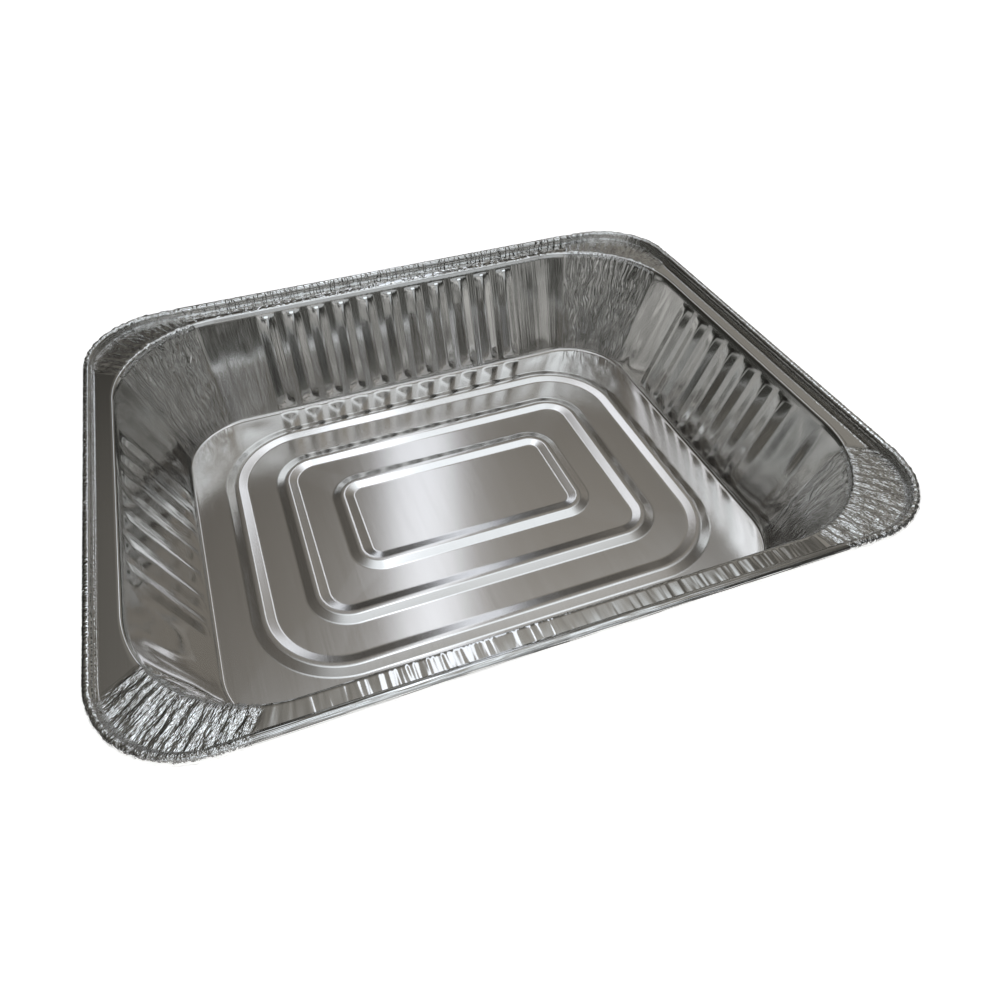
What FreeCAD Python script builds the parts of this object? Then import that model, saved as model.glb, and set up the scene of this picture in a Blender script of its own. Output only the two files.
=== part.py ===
import FreeCAD, Part
import math
import os
import random

Vector = FreeCAD.Vector

# One foil tray, pressed from a single sheet of aluminium foil and rolled at its edge.
# X runs along the long sides, Y along the short ends and Z up.
# The origin lies under the middle of the floor, on the face that the tray stands on.
# All sizes are in millimetres.

# Overall size
tray_length = 320.0
tray_width = 261.0
tray_height = 58.5
foil_thickness = 0.1

# Rolled bead along the outer edge, which stands proud of the flat flange
bead_diameter = 4.6
bead_above_flange = 3.9
curl_end_angle = 260.0
roll_flats = 10
rim_corner_radius = 38.5

# Flat flange between the bead and the mouth, and the narrow lip below the mouth
flange_width = 8.0
mouth_corner_radius = 54.0
lip_width = 0.9
lip_drop = 1.2

# Leaning walls
end_wall_lean = 20.0
side_wall_lean = 18.4
floor_corner_radius = 33.5

# Ribs pressed inward in the straight walls
side_rib_count = 11
side_rib_pitch = 13.75
side_rib_depth = 1.9
end_rib_count = 7
end_rib_pitch = 13.9
end_rib_depth = 1.1
rib_crest_width = 1.5
rib_flank_width = 4.2
rib_foot_height = 2.4
rib_head_gap = 2.0
rib_end_slope = 1.6

# Raised rings in the floor, from the outermost to the innermost
ring_height = 1.2
ring_slope_width = 4.0
ring_crest_width = 2.2
outer_ring_inset = 26.2
ring_spacing = 24.8
ring_inner_radii = [31.0, 10.5, 5.0]

# Gathers that take up the spare foil round each corner
gather_count = 20
gather_plain_run = 12.0
gather_foot_height = 2.4
gather_foot_depth = 0.6
gather_head_depth = 1.3
gather_lip_depth = 0.45
gather_least_share = 0.35
flange_crumple = 0.7
bead_crumple = 0.28
gather_jitter = 0.22
gather_seed = 11

# Sizes that follow from the ones above
bead_radius = bead_diameter / 2
bead_height = tray_height - bead_radius
flange_height = tray_height - bead_above_flange
inner_bead_radius = bead_radius - foil_thickness
lip_height = flange_height - lip_drop
wall_height = lip_height - foil_thickness
mean_lean = (end_wall_lean + side_wall_lean) / 2
rib_base_width = rib_crest_width + 2 * rib_flank_width
ring_base_width = ring_crest_width + 2 * ring_slope_width
gather_stations = 2 * gather_count
bead_stations = gather_count
quadrants = [(1, 1), (-1, 1), (-1, -1), (1, -1)]


class Level:
    """A rounded rectangle that one fold or edge of the foil follows round the tray."""

    def __init__(self, half_length, half_width, radius, height):
        self.half_length = half_length
        self.half_width = half_width
        self.radius = radius
        self.height = height

    def grown(self, outward, upward):
        """The same loop moved outward and upward."""
        return Level(
            self.half_length + outward,
            self.half_width + outward,
            self.radius + outward,
            self.height + upward,
        )

    def corner_start(self):
        """Where the corner's arc leaves the long side and where it meets the short one."""
        return self.half_length - self.radius, self.half_width - self.radius

    def along_corner(self, fraction):
        """Point and outward direction at a share of the way round the corner stretch."""
        arc_x, arc_y = self.corner_start()
        side_run = arc_x - sector_x
        end_run = arc_y - sector_y
        arc_run = self.radius * math.pi / 2
        travelled = fraction * (side_run + arc_run + end_run)
        if travelled <= side_run:
            return Vector(sector_x + travelled, self.half_width, self.height), Vector(0, 1, 0)
        if travelled >= side_run + arc_run:
            left = travelled - side_run - arc_run
            return Vector(self.half_length, arc_y - left, self.height), Vector(1, 0, 0)
        angle = math.pi / 2 - (travelled - side_run) / self.radius
        outward = Vector(math.cos(angle), math.sin(angle), 0)
        return Vector(arc_x, arc_y, self.height) + outward * self.radius, outward


class Skin:
    """One face of the foil: the levels of its folds and the radius of its rolled edge."""

    def __init__(self, floor, fold, mouth, roll_radius, flange_top):
        self.floor = floor
        self.fold = fold
        self.mouth = mouth
        self.roll_radius = roll_radius
        self.flange_top = flange_top

    def roll_start_angle(self):
        """Angle, in degrees, at which the rolled edge leaves the flange."""
        sunk = bead_height - self.flange_top
        return 180.0 + math.degrees(math.asin(sunk / self.roll_radius))


mouth_level = Level(
    tray_length / 2 - bead_diameter - flange_width,
    tray_width / 2 - bead_diameter - flange_width,
    mouth_corner_radius,
    flange_height,
)
fold_level = mouth_level.grown(-lip_width, -lip_drop)
floor_level = Level(
    fold_level.half_length - end_wall_lean,
    fold_level.half_width - side_wall_lean,
    floor_corner_radius,
    foil_thickness,
)
bead_level = Level(
    tray_length / 2 - bead_radius,
    tray_width / 2 - bead_radius,
    rim_corner_radius - bead_radius,
    bead_height,
)
corner_levels = [mouth_level, fold_level, floor_level, bead_level]
sector_x = min(level.corner_start()[0] for level in corner_levels) - foil_thickness
sector_y = min(level.corner_start()[1] for level in corner_levels) - foil_thickness


def mitre(angle_before, angle_after):
    """Outward and upward shift that keeps the foil's thickness past one fold."""
    half_turn = (angle_after - angle_before) / 2
    middle = (angle_before + angle_after) / 2
    reach = foil_thickness / math.cos(half_turn)
    return reach * math.sin(middle), -reach * math.cos(middle)


wall_angle = math.atan2(wall_height, mean_lean)
lip_angle = math.atan2(lip_drop, lip_width)
upper_skin = Skin(floor_level, fold_level, mouth_level, bead_radius, flange_height)
lower_skin = Skin(
    floor_level.grown(*mitre(0.0, wall_angle)),
    fold_level.grown(*mitre(wall_angle, lip_angle)),
    mouth_level.grown(*mitre(lip_angle, 0.0)),
    inner_bead_radius,
    flange_height - foil_thickness,
)


def flat_face(points):
    """A flat polygon."""
    return Part.Face(Part.makePolygon(points + [points[0]]))


def strip(lower, upper):
    """Flat triangles between two rows with the same number of points."""
    faces = []
    for i in range(len(lower) - 1):
        faces.append(flat_face([lower[i], lower[i + 1], upper[i + 1]]))
        faces.append(flat_face([lower[i], upper[i + 1], upper[i]]))
    return faces


def halving_strip(many, few):
    """Flat triangles from a row of points to one with half as many stretches."""
    faces = []
    for i in range(len(few) - 1):
        faces.append(flat_face([many[2 * i], many[2 * i + 1], few[i]]))
        faces.append(flat_face([many[2 * i + 1], few[i + 1], few[i]]))
        faces.append(flat_face([many[2 * i + 1], many[2 * i + 2], few[i + 1]]))
    return faces


def mirrored(points, quadrant):
    """Points of the first corner carried over to another corner."""
    return [Vector(p.x * quadrant[0], p.y * quadrant[1], p.z) for p in points]


class Gathers:
    """The uneven folds of one corner, the same on both faces of the foil."""

    def __init__(self, seed):
        chance = random.Random(seed)
        bead_run = self.run_length(bead_level)
        self.quiet = gather_plain_run / bead_run
        self.places = [self.place(i, gather_stations, chance) for i in range(gather_stations + 1)]
        self.wall = [self.pleat(i, chance) for i in range(gather_stations + 1)]
        self.lip = [self.swing(self.places[i], chance) for i in range(gather_stations + 1)]
        self.flange = [self.swing(self.places[i], chance) for i in range(gather_stations + 1)]
        self.bead_places = [i / bead_stations for i in range(bead_stations + 1)]
        self.bead = [abs(self.swing(place, chance)) for place in self.bead_places]

    def run_length(self, level):
        """Length of a level's corner stretch."""
        arc_x, arc_y = level.corner_start()
        return arc_x - sector_x + arc_y - sector_y + level.radius * math.pi / 2

    def gathered(self, place):
        """Whether the foil is gathered at this share of the corner."""
        return self.quiet < place < 1.0 - self.quiet

    def place(self, i, count, chance):
        """Share of the corner at which one fold line runs, unevenly spaced."""
        jitter = chance.uniform(-gather_jitter, gather_jitter)
        if i in (0, count):
            jitter = 0.0
        return (i + jitter) / count

    def pleat(self, i, chance):
        """How far one fold line stands in from the smooth wall, as a share of the depth."""
        share = chance.uniform(gather_least_share, 1.0)
        if not self.gathered(self.places[i]) or i % 2 == 0:
            return 0.0
        return share

    def swing(self, place, chance):
        """An uneven rise or fall, as a share of the crumple's height."""
        share = chance.uniform(-1.0, 1.0)
        if not self.gathered(place):
            return 0.0
        return share


def wall_point(skin, place, share_up, inward):
    """A point on the corner's smooth wall, moved in from it by a distance."""
    low, low_out = skin.floor.along_corner(place)
    high, high_out = skin.fold.along_corner(place)
    normal = (low_out + high_out).normalize() * math.sin(wall_angle)
    normal.z = -math.cos(wall_angle)
    return low + (high - low) * share_up - normal * inward


def roll_section(skin, centre, outward, squeeze):
    """The rolled edge's section, from the flange over the top and round to its end."""
    radius = skin.roll_radius - squeeze
    start = math.radians(skin.roll_start_angle())
    end = math.radians(curl_end_angle - 360.0)
    points = []
    for i in range(roll_flats + 1):
        angle = start + (end - start) * i / roll_flats
        points.append(centre + outward * (radius * math.cos(angle)) + Vector(0, 0, radius * math.sin(angle)))
    return points


def corner_faces(skin, gathers, quadrant):
    """One corner of the foil's face, and its row of points along the rolled edge's end."""
    stations = range(gather_stations + 1)
    foot_share = gather_foot_height / wall_height
    floor_row = [skin.floor.along_corner(gathers.places[i])[0] for i in stations]
    foot_row = [
        wall_point(skin, gathers.places[i], foot_share, gathers.wall[i] * gather_foot_depth)
        for i in stations
    ]
    fold_row = [
        wall_point(skin, gathers.places[i], 1.0, gathers.wall[i] * gather_head_depth)
        for i in stations
    ]
    mouth_row = [
        skin.mouth.along_corner(gathers.places[i])[0] + Vector(0, 0, gathers.lip[i] * gather_lip_depth)
        for i in stations
    ]
    rolls = [
        roll_section(skin, *bead_level.along_corner(place), swing * bead_crumple)
        for place, swing in zip(gathers.bead_places, gathers.bead)
    ]
    rolls = [mirrored(points, quadrant) for points in rolls]
    bead_row = [points[0] for points in rolls]
    rows = [mirrored(row, quadrant) for row in (floor_row, foot_row, fold_row, mouth_row)]
    middle_row = flange_middle(skin, gathers, quadrant)
    faces = strip(rows[0], rows[1]) + strip(rows[1], rows[2]) + strip(rows[2], rows[3])
    faces += strip(rows[3], middle_row) + halving_strip(middle_row, bead_row)
    for i in range(bead_stations):
        faces += strip(rolls[i], rolls[i + 1])
    return faces, rows[0], [points[-1] for points in rolls]


def flange_middle(skin, gathers, quadrant):
    """The crumpled row of points half way across the corner's flange."""
    row = []
    for i, place in enumerate(gathers.places):
        inner = skin.mouth.along_corner(place)[0]
        outer = roll_section(skin, *bead_level.along_corner(place), 0.0)[0]
        row.append((inner + outer) * 0.5 + Vector(0, 0, gathers.flange[i] * flange_crumple))
    return mirrored(row, quadrant)


def rib_faces(place_on_wall, count, pitch, depth, wall_run):
    """The ribs of one straight wall, and the outlines that they leave in it."""
    half_crest = rib_crest_width / 2
    half_base = rib_base_width / 2
    low = rib_foot_height
    high = wall_run - rib_head_gap
    faces = []
    outlines = []
    for i in range(count):
        centre = (i - (count - 1) / 2) * pitch
        base = [
            place_on_wall(centre - half_base, low, 0.0),
            place_on_wall(centre + half_base, low, 0.0),
            place_on_wall(centre + half_base, high, 0.0),
            place_on_wall(centre - half_base, high, 0.0),
        ]
        crest = [
            place_on_wall(centre - half_crest, low + rib_end_slope, depth),
            place_on_wall(centre + half_crest, low + rib_end_slope, depth),
            place_on_wall(centre + half_crest, high - rib_end_slope, depth),
            place_on_wall(centre - half_crest, high - rib_end_slope, depth),
        ]
        faces.append(flat_face(crest))
        for j in range(4):
            k = (j + 1) % 4
            faces.append(flat_face([base[j], base[k], crest[k], crest[j]]))
        outlines.append(Part.makePolygon(base + [base[0]]))
    return faces, outlines


class Side:
    """One straight stretch of the tray, seen along its outward direction."""

    def __init__(self, outward, along, sector, on_long_side):
        self.outward = outward
        self.along = along
        self.sector = sector
        self.on_long_side = on_long_side

    def reach(self, level):
        """How far out a level lies on this side."""
        if self.on_long_side:
            return level.half_width
        return level.half_length

    def point(self, along, out, height):
        """A point from its place along the side, its distance out and its height."""
        return self.along * along + self.outward * out + Vector(0, 0, height)

    def band(self, start, end):
        """A flat band along the whole stretch between two places in the section."""
        return flat_face([
            self.point(-self.sector, *start),
            self.point(self.sector, *start),
            self.point(self.sector, *end),
            self.point(-self.sector, *end),
        ])


sides = [
    Side(Vector(0, 1, 0), Vector(1, 0, 0), sector_x, True),
    Side(Vector(0, -1, 0), Vector(1, 0, 0), sector_x, True),
    Side(Vector(1, 0, 0), Vector(0, 1, 0), sector_y, False),
    Side(Vector(-1, 0, 0), Vector(0, 1, 0), sector_y, False),
]


def wall_faces(skin, side):
    """One straight wall with its ribs."""
    foot = (side.reach(skin.floor), skin.floor.height)
    head = (side.reach(skin.fold), skin.fold.height)
    run = math.hypot(head[0] - foot[0], head[1] - foot[1])
    lean = (head[0] - foot[0]) / run
    rise = (head[1] - foot[1]) / run

    def place_on_wall(along, up, inward):
        out = foot[0] + lean * up - rise * inward
        return side.point(along, out, foot[1] + rise * up + lean * inward)

    count, pitch, depth = end_rib_count, end_rib_pitch, end_rib_depth
    if side.on_long_side:
        count, pitch, depth = side_rib_count, side_rib_pitch, side_rib_depth
    faces, outlines = rib_faces(place_on_wall, count, pitch, depth, run)
    foot_share = gather_foot_height / wall_height
    corners = [
        place_on_wall(-side.sector, 0.0, 0.0),
        place_on_wall(side.sector, 0.0, 0.0),
        place_on_wall(side.sector, run * foot_share, 0.0),
        place_on_wall(side.sector, run, 0.0),
        place_on_wall(-side.sector, run, 0.0),
        place_on_wall(-side.sector, run * foot_share, 0.0),
    ]
    wall = Part.makePolygon(corners + [corners[0]])
    faces.append(Part.makeFace([wall] + outlines, "Part::FaceMakerBullseye"))
    return faces


def side_faces(skin, side):
    """One straight stretch of the foil's face: wall, lip, flange and rolled edge."""
    fold = (side.reach(skin.fold), skin.fold.height)
    mouth = (side.reach(skin.mouth), skin.mouth.height)
    centre = Vector(0, side.reach(bead_level), bead_height)
    roll = [(point.y, point.z) for point in roll_section(skin, centre, Vector(0, 1, 0), 0.0)]
    middle = ((mouth[0] + roll[0][0]) / 2, skin.flange_top)
    section = [fold, mouth, middle] + roll
    faces = wall_faces(skin, side)
    for start, end in zip(section, section[1:]):
        faces.append(side.band(start, end))
    return faces, [side.point(-side.sector, *roll[-1]), side.point(side.sector, *roll[-1])]


def ring_loop(half_length, half_width, radius, height):
    """A closed rounded rectangle of arcs and lines."""
    arcs = []
    for i, (sign_x, sign_y) in enumerate(quadrants):
        centre = Vector(sign_x * (half_length - radius), sign_y * (half_width - radius), height)
        arcs.append(Part.makeCircle(radius, centre, Vector(0, 0, 1), 90.0 * i, 90.0 * (i + 1)))
    edges = []
    for arc, next_arc in zip(arcs, arcs[1:] + arcs[:1]):
        start = arc.valueAt(arc.LastParameter)
        end = next_arc.valueAt(next_arc.FirstParameter)
        edges += [arc, Part.makeLine(start, end)]
    return Part.Wire(edges)


def slope_faces(inner, outer, low, high):
    """The sloping band of a ring between two concentric loops."""
    arc_x = inner[0] - inner[2]
    arc_y = inner[1] - inner[2]
    centres = [Vector(sign_x * arc_x, sign_y * arc_y, 0) for sign_x, sign_y in quadrants]
    faces = []
    for i, (centre, next_centre) in enumerate(zip(centres, centres[1:] + centres[:1])):
        slant = Part.makeLine(centre + Vector(inner[2], 0, low), centre + Vector(outer[2], 0, high))
        slant.rotate(centre, Vector(0, 0, 1), 90.0 * i)
        faces.append(slant.revolve(centre, Vector(0, 0, 1), 90.0))
        slant.rotate(centre, Vector(0, 0, 1), 90.0)
        faces.append(slant.extrude(next_centre - centre))
    return faces


def floor_faces(skin, corner_rows):
    """The floor of one face of the foil, with its raised rings."""
    edge_points = []
    for row, quadrant in zip(corner_rows, quadrants):
        forward = quadrant[0] * quadrant[1] < 0
        edge_points += row if forward else list(reversed(row))
    outline = Part.makePolygon(edge_points + [edge_points[0]])
    low = skin.floor.height
    high = low + ring_height
    faces = []
    for i, inner_radius in enumerate(ring_inner_radii):
        inset = outer_ring_inset + i * ring_spacing
        loops = []
        for width in (0.0, ring_slope_width, ring_slope_width + ring_crest_width, ring_base_width):
            half_length = floor_level.half_length - inset + width
            half_width = floor_level.half_width - inset + width
            loops.append((half_length, half_width, inner_radius + width))
        faces += slope_faces(loops[0], loops[1], low, high)
        faces += slope_faces(loops[2], loops[3], high, low)
        crest = [ring_loop(*loops[2], high), ring_loop(*loops[1], high)]
        faces.append(Part.makeFace(crest, "Part::FaceMakerBullseye"))
        field = [outline, ring_loop(*loops[3], low)]
        faces.append(Part.makeFace(field, "Part::FaceMakerBullseye"))
        outline = ring_loop(*loops[0], low)
    faces.append(Part.Face(outline))
    return faces


def skin_faces(skin, all_gathers):
    """Every face of one side of the foil, and the runs of its rolled edge's end."""
    faces = []
    floor_rows = []
    end_rows = []
    for gathers, quadrant in zip(all_gathers, quadrants):
        new_faces, floor_row, end_row = corner_faces(skin, gathers, quadrant)
        faces += new_faces
        floor_rows.append(floor_row)
        end_rows.append(end_row)
    for side in sides:
        new_faces, end_row = side_faces(skin, side)
        faces += new_faces
        end_rows.append(end_row)
    faces += floor_faces(skin, floor_rows)
    return faces, end_rows


def make_tray():
    """The whole tray as one closed solid of thin foil."""
    all_gathers = [Gathers(gather_seed + i) for i in range(len(quadrants))]
    upper_faces, upper_ends = skin_faces(upper_skin, all_gathers)
    lower_faces, lower_ends = skin_faces(lower_skin, all_gathers)
    faces = upper_faces + lower_faces
    for upper_row, lower_row in zip(upper_ends, lower_ends):
        faces += strip(upper_row, lower_row)
    shell = Part.makeShell(faces)
    shell.sewShape()
    return Part.makeSolid(shell)


tray = make_tray()
print("valid", tray.isValid(), "closed", tray.isClosed(), "volume", round(tray.Volume, 1))
os.makedirs("parts", exist_ok=True)
tray.exportStep("parts/foil_tray.step")
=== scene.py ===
import logging
import math
from dataclasses import dataclass
from enum import Enum

import bpy
import numpy as np
from mathutils import Matrix, Vector

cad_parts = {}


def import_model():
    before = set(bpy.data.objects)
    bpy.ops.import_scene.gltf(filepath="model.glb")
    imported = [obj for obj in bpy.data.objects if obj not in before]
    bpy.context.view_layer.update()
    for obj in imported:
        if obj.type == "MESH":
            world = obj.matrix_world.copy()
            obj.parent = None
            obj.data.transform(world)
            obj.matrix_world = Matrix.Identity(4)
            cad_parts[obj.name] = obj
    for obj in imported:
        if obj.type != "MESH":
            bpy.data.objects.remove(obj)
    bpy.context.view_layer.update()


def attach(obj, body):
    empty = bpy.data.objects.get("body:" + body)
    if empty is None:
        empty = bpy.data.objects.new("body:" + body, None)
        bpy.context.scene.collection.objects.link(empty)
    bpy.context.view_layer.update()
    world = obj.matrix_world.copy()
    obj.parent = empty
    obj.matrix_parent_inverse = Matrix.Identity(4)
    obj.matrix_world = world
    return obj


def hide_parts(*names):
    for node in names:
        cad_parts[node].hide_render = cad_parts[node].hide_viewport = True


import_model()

log = logging.getLogger("foil_tray")
MM = 0.001
UP = np.array([0.0, 0.0, 1.0])

# Signs of x and y at the four corners, and the outward direction of the side after each corner.
QUADRANTS = ((1, 1), (-1, 1), (-1, -1), (1, -1))
SIDES = {"back": (0.0, 1.0), "left": (-1.0, 0.0), "front": (0.0, -1.0), "right": (1.0, 0.0)}


class Zone(Enum):
    """Stretches of the foil, from the middle of the floor out to the end of the roll."""

    FLOOR = "floor"
    WALL = "wall"
    LIP = "lip"
    FLANGE = "flange"
    ROLL = "roll"


@dataclass(frozen=True)
class Loop:
    """A rounded rectangle that one fold of the foil follows round the tray, in millimetres."""

    half_length: float
    half_width: float
    radius: float
    height: float

    def grown(self, outward: float, upward: float) -> "Loop":
        """Move the loop outward and upward.

        Args:
            outward: Distance outward.
            upward: Distance upward.

        Returns:
            The moved loop.
        """
        return Loop(
            self.half_length + outward,
            self.half_width + outward,
            self.radius + outward,
            self.height + upward,
        )

    def corner_start(self) -> tuple[float, float]:
        """Give the place of the first corner's arc centre."""
        return self.half_length - self.radius, self.half_width - self.radius


@dataclass(frozen=True)
class TraySizes:
    """Sizes of the pressed tray, in millimetres, the same as the solid's."""

    length: float = 320.0
    width: float = 261.0
    height: float = 58.5
    foil: float = 0.1
    bead: float = 4.6
    bead_above_flange: float = 3.9
    curl_end: float = 260.0
    rim_radius: float = 38.5
    flange: float = 8.0
    mouth_radius: float = 54.0
    lip_width: float = 0.9
    lip_drop: float = 1.2
    end_lean: float = 20.0
    side_lean: float = 18.4
    floor_radius: float = 33.5
    foot_rounding: float = 1.6

    @property
    def mouth_loop(self) -> Loop:
        """Inner edge of the flange."""
        inset = self.bead + self.flange
        return Loop(
            self.length / 2 - inset,
            self.width / 2 - inset,
            self.mouth_radius,
            self.height - self.bead_above_flange,
        )

    @property
    def fold_loop(self) -> Loop:
        """Top of the leaning walls."""
        return self.mouth_loop.grown(-self.lip_width, -self.lip_drop)

    @property
    def floor_loop(self) -> Loop:
        """Edge of the floor."""
        fold = self.fold_loop
        return Loop(
            fold.half_length - self.end_lean,
            fold.half_width - self.side_lean,
            self.floor_radius,
            self.foil,
        )

    @property
    def bead_loop(self) -> Loop:
        """Line that the rolled bead turns round."""
        radius = self.bead / 2
        return Loop(
            self.length / 2 - radius,
            self.width / 2 - radius,
            self.rim_radius - radius,
            self.height - radius,
        )

    @property
    def sector(self) -> tuple[float, float]:
        """Half lengths of the straight stretches."""
        loops = (self.mouth_loop, self.fold_loop, self.floor_loop, self.bead_loop)
        return (
            min(loop.corner_start()[0] for loop in loops) - self.foil,
            min(loop.corner_start()[1] for loop in loops) - self.foil,
        )

    @property
    def wall_angle(self) -> float:
        """Slope of the walls, in radians from the floor."""
        rise = self.fold_loop.height - self.foil
        return math.atan2(rise, (self.end_lean + self.side_lean) / 2)

    @property
    def foot_reach(self) -> float:
        """How far the foot's rounding reaches from the line where floor and wall would meet."""
        return self.foot_rounding * math.tan(self.wall_angle / 2)


@dataclass(frozen=True)
class RibSizes:
    """Ribs of one pair of walls, in millimetres.

    The sheet has stations an edge away from each fold of a rib, and no two closer than the gap.
    """

    count: int
    pitch: float
    depth: float
    crest: float
    flank: float
    foot: float = 2.4
    head: float = 2.0
    end_slope: float = 1.6
    head_share: float = 0.42
    fading: float = 8.0
    foot_slope: float = 5.0
    edge: float = 0.5
    gap: float = 0.3
    margin_steps: int = 9

    def stations(self, half_run: float) -> list[float]:
        """Places along the wall that follow each rib's section.

        Args:
            half_run: Half the length of the straight stretch.

        Returns:
            Places from one end of the stretch to the other.
        """
        half_crest = self.crest / 2
        half_base = half_crest + self.flank
        inner = (0.0, half_crest, half_crest + self.edge)
        outer = (half_base - self.edge, half_base, half_base + self.edge, self.pitch / 2)
        places = {-half_run, half_run}
        for i in range(self.count):
            centre = (i - (self.count - 1) / 2) * self.pitch
            for step in inner + outer:
                places.add(round(centre + step, 6))
                places.add(round(centre - step, 6))
        outermost = self.pitch * self.count / 2
        margin = np.linspace(outermost, half_run, self.margin_steps)[1:-1]
        places.update(float(v) for v in margin)
        places.update(-float(v) for v in margin)
        ordered = sorted(places)
        kept = [ordered[0]]
        for place in ordered[1:]:
            if place - kept[-1] > self.gap:
                kept.append(place)
        kept[-1] = half_run
        return kept


@dataclass(frozen=True)
class RingSizes:
    """Raised rings of the floor, in millimetres.

    The sheet has rows an edge away from each fold of a ring, and one a margin beyond its foot.
    """

    height: float = 1.2
    slope: float = 4.0
    crest: float = 2.2
    outer_inset: float = 26.2
    spacing: float = 24.8
    inner_radii: tuple[float, ...] = (31.0, 10.5, 5.0)
    edge: float = 0.35
    margin: float = 0.9

    @property
    def base(self) -> float:
        """Width of one ring over its feet."""
        return self.crest + 2 * self.slope


@dataclass(frozen=True)
class GatherSizes:
    """Gathers that take up the spare foil round the corners, in millimetres.

    The starts give, for each corner, how far from the middle the gathers begin
    along the long side and along the short side.
    """

    starts: tuple[tuple[float, float], ...] = ((107.0, 77.0), (106.0, 83.0), (105.0, 87.0), (101.0, 80.0))
    edge: float = 2.5
    pleat_pitch: float = 3.0
    foot_depth: float = 0.5
    head_depth: float = 1.1
    flange_depth: float = 0.6
    bead_depth: float = 0.4
    seed: int = 11


@dataclass(frozen=True)
class StageFinish:
    """The pale floor under the tray."""

    colour: tuple[float, float, float] = (0.92, 0.92, 0.92)
    roughness: float = 0.7
    glow: float = 1.0
    # Glow of the floor in the painted shade round the tray.
    painted_shade_glow: float = 0.2
    clouding: float = 0.99


def feed(tree: bpy.types.NodeTree, value: object, slot: bpy.types.NodeSocket) -> None:
    """Give a node's input a number or another node's output.

    Args:
        tree: The node tree.
        value: A wire, a socket or a plain value.
        slot: The input to fill.
    """
    if isinstance(value, Wire):
        tree.links.new(value.socket, slot)
    elif isinstance(value, bpy.types.NodeSocket):
        tree.links.new(value, slot)
    else:
        slot.default_value = value


@dataclass
class Wire:
    """A number that travels through a node tree, with the usual arithmetic."""

    tree: bpy.types.NodeTree
    socket: bpy.types.NodeSocket

    def through(self, operation: str, *others: object) -> "Wire":
        """Pass the number through one maths node.

        Args:
            operation: Name of the operation.
            others: The further inputs.

        Returns:
            The result.
        """
        node = self.tree.nodes.new("ShaderNodeMath")
        node.operation = operation
        for slot, value in zip(node.inputs, (self, *others)):
            feed(self.tree, value, slot)
        return Wire(self.tree, node.outputs[0])

    def __add__(self, other: object) -> "Wire":
        """Add."""
        return self.through("ADD", other)

    def __sub__(self, other: object) -> "Wire":
        """Take away."""
        return self.through("SUBTRACT", other)

    def __mul__(self, other: object) -> "Wire":
        """Multiply."""
        return self.through("MULTIPLY", other)

    def __truediv__(self, other: object) -> "Wire":
        """Divide."""
        return self.through("DIVIDE", other)

    def __abs__(self) -> "Wire":
        """Drop the sign."""
        return self.through("ABSOLUTE")

    def nearest(self) -> "Wire":
        """Round to the nearest whole number."""
        return self.through("ROUND")

    def lowest(self, other: object) -> "Wire":
        """Take the lower of two numbers."""
        return self.through("MINIMUM", other)

    def highest(self, other: object) -> "Wire":
        """Take the higher of two numbers."""
        return self.through("MAXIMUM", other)

    def below(self, other: object) -> "Wire":
        """Give 1 where the number is lower than the other."""
        return self.through("LESS_THAN", other)

    def ramp(
        self,
        start: object,
        end: object,
        low: object = 0.0,
        high: object = 1.0,
        eased: bool = True,
    ) -> "Wire":
        """Go from one value to another as the number crosses a span.

        Args:
            start: Where the span starts.
            end: Where the span ends.
            low: Value before the span.
            high: Value after the span.
            eased: Whether the change starts and ends softly.

        Returns:
            The value.
        """
        node = self.tree.nodes.new("ShaderNodeMapRange")
        node.interpolation_type = "SMOOTHSTEP" if eased else "LINEAR"
        for slot, value in zip(node.inputs, (self, start, end, low, high)):
            feed(self.tree, value, slot)
        return Wire(self.tree, node.outputs[0])


def joined(tree: bpy.types.NodeTree, x: object, y: object, z: object = 0.0) -> Wire:
    """Make a vector from three numbers.

    Args:
        tree: The node tree.
        x: First part.
        y: Second part.
        z: Third part.

    Returns:
        The vector.
    """
    node = tree.nodes.new("ShaderNodeCombineXYZ")
    for slot, value in zip(node.inputs, (x, y, z)):
        feed(tree, value, slot)
    return Wire(tree, node.outputs[0])


def noise(tree: bpy.types.NodeTree, place: object, detail: float = 1.0, rough: float = 0.5) -> Wire:
    """Smooth random values from about 0 to 1.

    Args:
        tree: The node tree.
        place: Vector at which the noise is read, already scaled.
        detail: How many finer layers it has.
        rough: How strong the finer layers are.

    Returns:
        The noise.
    """
    node = tree.nodes.new("ShaderNodeTexNoise")
    node.noise_dimensions = "3D"
    feed(tree, place, node.inputs["Vector"])
    node.inputs["Scale"].default_value = 1.0
    node.inputs["Detail"].default_value = detail
    node.inputs["Roughness"].default_value = rough
    return Wire(tree, node.outputs[0])


def parts(tree: bpy.types.NodeTree, place: object) -> tuple[Wire, ...]:
    """Take a vector apart.

    Args:
        tree: The node tree.
        place: The vector.

    Returns:
        Its three numbers.
    """
    node = tree.nodes.new("ShaderNodeSeparateXYZ")
    feed(tree, place, node.inputs[0])
    return tuple(Wire(tree, output) for output in node.outputs)


def blended(
    tree: bpy.types.NodeTree,
    share: object,
    first: object,
    second: object,
    kind: str = "MIX",
) -> Wire:
    """Blend two colours.

    Args:
        tree: The node tree.
        share: How much of the second colour is used.
        first: The first colour.
        second: The second colour.
        kind: Blender's name for the way of blending.

    Returns:
        The blend.
    """
    node = tree.nodes.new("ShaderNodeMix")
    node.data_type = "RGBA"
    node.blend_type = kind
    feed(tree, share, node.inputs["Factor"])
    for slot, value in ((6, first), (7, second)):
        feed(tree, (*value, 1.0) if isinstance(value, tuple) else value, node.inputs[slot])
    return Wire(tree, node.outputs[2])


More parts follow.
